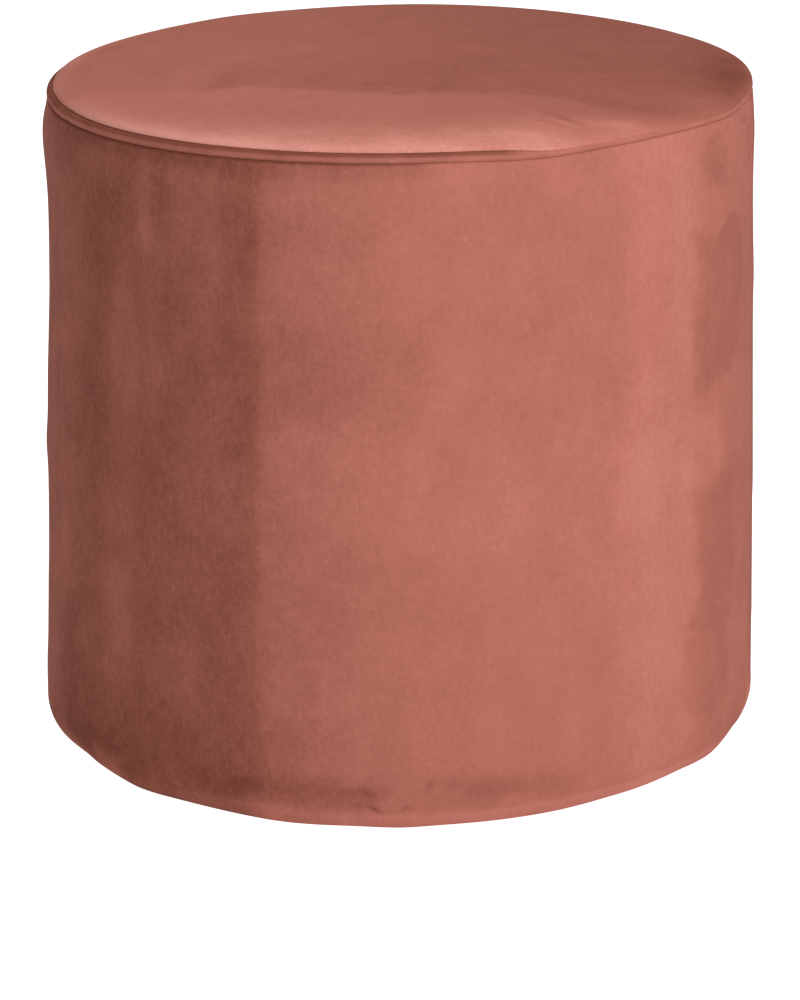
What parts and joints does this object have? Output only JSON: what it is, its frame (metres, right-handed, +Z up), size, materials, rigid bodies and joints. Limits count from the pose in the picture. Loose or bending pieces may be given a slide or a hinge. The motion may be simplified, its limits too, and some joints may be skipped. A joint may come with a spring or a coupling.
{
  "type": "round pouf",
  "caption": "Upright round pouf, a filled velvet drum with a piped seam round its softly crowned top.",
  "frame": {"origin": "on the floor, under the middle of the drum", "axes": "+Z up through the top panel, -Y towards the front of the picture's view, +X to its right"},
  "size_m": [0.4654, 0.4654, 0.44],
  "materials": {
    "velvet": "short-pile velvet, terracotta pink"
  },
  "bodies": {
    "root": {"side_panel": "velvet", "piping": "velvet", "top_panel": "velvet", "base_panel": "velvet"}
  },
  "joints": []
}
